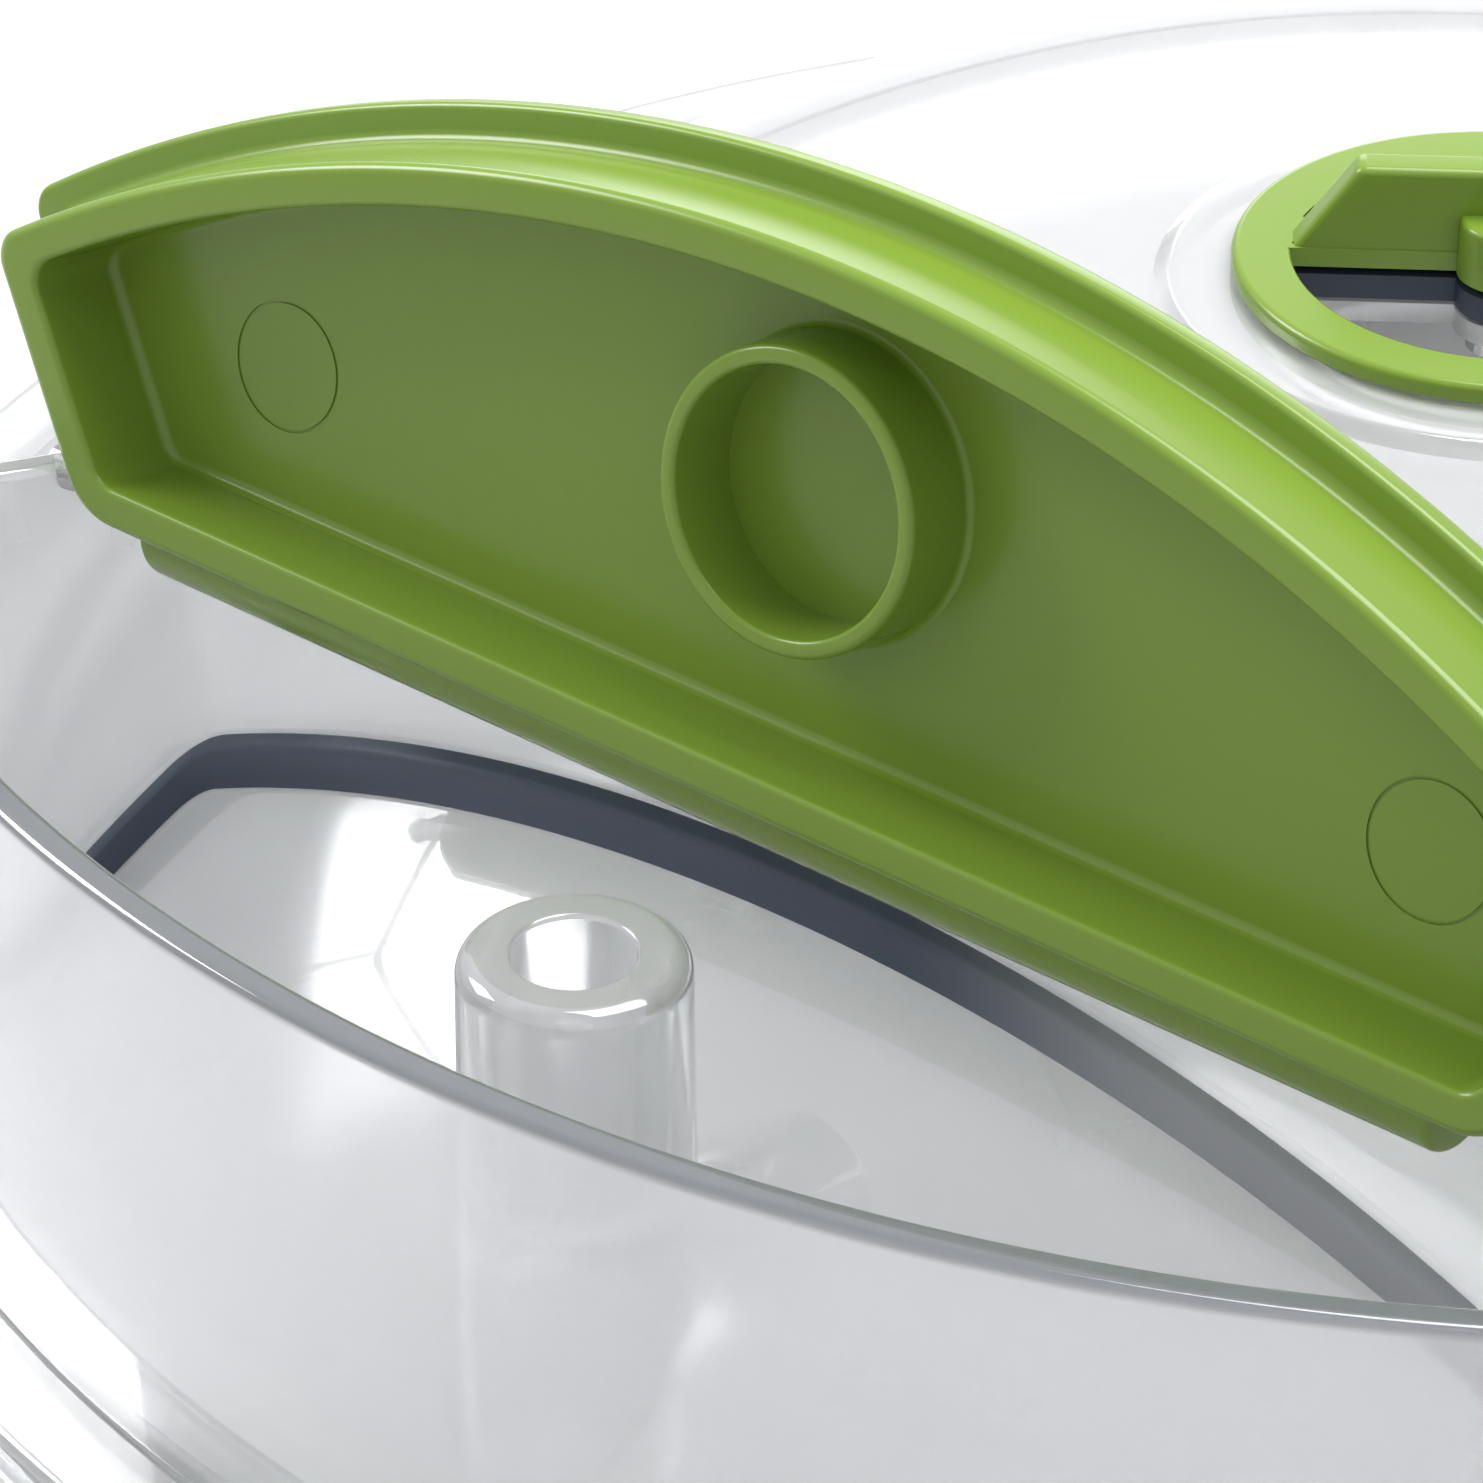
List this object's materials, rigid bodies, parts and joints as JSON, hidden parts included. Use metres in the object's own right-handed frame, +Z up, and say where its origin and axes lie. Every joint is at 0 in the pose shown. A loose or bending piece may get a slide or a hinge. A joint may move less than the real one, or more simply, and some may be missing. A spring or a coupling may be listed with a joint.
{
  "type": "salad spinner",
  "caption": "Crank salad spinner: clear bowl and domed lid with a green hinged hatch over a well, a green vent dial, and a slotted white basket.",
  "frame": {"origin": "centre of the foot ring's underside, on the surface it stands on", "axes": "+Z up along the basket's axis; the hatch and its well are on the -Y side"},
  "size_m": [0.267, 0.267, 0.2028],
  "materials": {
    "clear_plastic": "clear, polished",
    "green_plastic": "satin moulded",
    "navy_seal": "smooth elastomer",
    "white_plastic": "satin moulded",
    "grey_rubber": "matt",
    "steel": "fine turned"
  },
  "bodies": {
    "base": {"bowl": "clear_plastic", "foot_ring": "grey_rubber", "pivot_pin": "steel"},
    "basket": {"basket": "white_plastic", "basket_bush": "white_plastic", "basket_cover": "white_plastic"},
    "lid": {"lid_shell": "clear_plastic", "lid_seal": "grey_rubber", "well_gasket": "navy_seal", "gear_tray": "white_plastic", "tray_screw_1": "steel", "tray_screw_2": "steel", "tray_screw_3": "steel", "sleeve_bush": "white_plastic", "idler_pin": "steel", "crank_bush": "white_plastic", "dial_seal": "navy_seal", "dial_pivot": "steel", "hatch_pin_left": "steel", "hatch_pin_right": "steel"},
    "sleeve": {"drive_sleeve": "white_plastic"},
    "idler": {"idler_gear": "white_plastic"},
    "crank": {"crank_gear": "white_plastic", "crank_shaft": "steel", "crank_arm": "green_plastic", "arm_screw": "steel", "knob_pin": "steel"},
    "knob": {"crank_knob": "green_plastic"},
    "dial": {"dial": "green_plastic"},
    "hatch": {"hatch": "green_plastic"},
    "brake": {"brake_button": "green_plastic", "brake_pad": "grey_rubber", "brake_spring": "steel"}
  },
  "joints": [
    {"name": "lid_lift", "type": "slide", "parent": "base", "child": "lid", "axis": [0, 0, 1], "range_m": [0, 0.12]},
    {"name": "basket_spin", "type": "hinge", "parent": "base", "child": "basket", "pos_m": [0, 0, 0.02], "axis": [0, 0, 1], "continuous": true},
    {"name": "hatch_swing", "type": "hinge", "parent": "lid", "child": "hatch", "pos_m": [0, -0.0839, 0.164], "axis": [1, 0, 0], "range_deg": [0, 101.3]},
    {"name": "dial_turn", "type": "hinge", "parent": "lid", "child": "dial", "pos_m": [0, 0, 0.1658], "axis": [0, 0, 1], "range_deg": [0, 180]},
    {"name": "sleeve_spin", "type": "hinge", "parent": "lid", "child": "sleeve", "pos_m": [0, 0, 0.13], "axis": [0, 0, 1], "continuous": true},
    {"name": "idler_spin", "type": "hinge", "parent": "lid", "child": "idler", "pos_m": [0.01852, 0.01527, 0.128], "axis": [0, 0, 1], "continuous": true},
    {"name": "crank_turn", "type": "hinge", "parent": "lid", "child": "crank", "pos_m": [0.0544, 0.04484, 0.15], "axis": [0, 0, 1], "continuous": true},
    {"name": "knob_spin", "type": "hinge", "parent": "crank", "child": "knob", "pos_m": [0.08372, 0.06901, 0.19], "axis": [0, 0, 1], "continuous": true},
    {"name": "brake_press", "type": "slide", "parent": "lid", "child": "brake", "axis": [0, 0, -1], "range_m": [0, 0.0035], "stiffness_N_per_m": 600, "deforming": ["brake_spring"]}
  ],
  "couplings": [
    {"joint": "sleeve_spin", "follows": "basket_spin", "ratio": 1},
    {"joint": "idler_spin", "follows": "basket_spin", "ratio": -1.6667},
    {"joint": "crank_turn", "follows": "basket_spin", "ratio": 0.4}
  ]
}
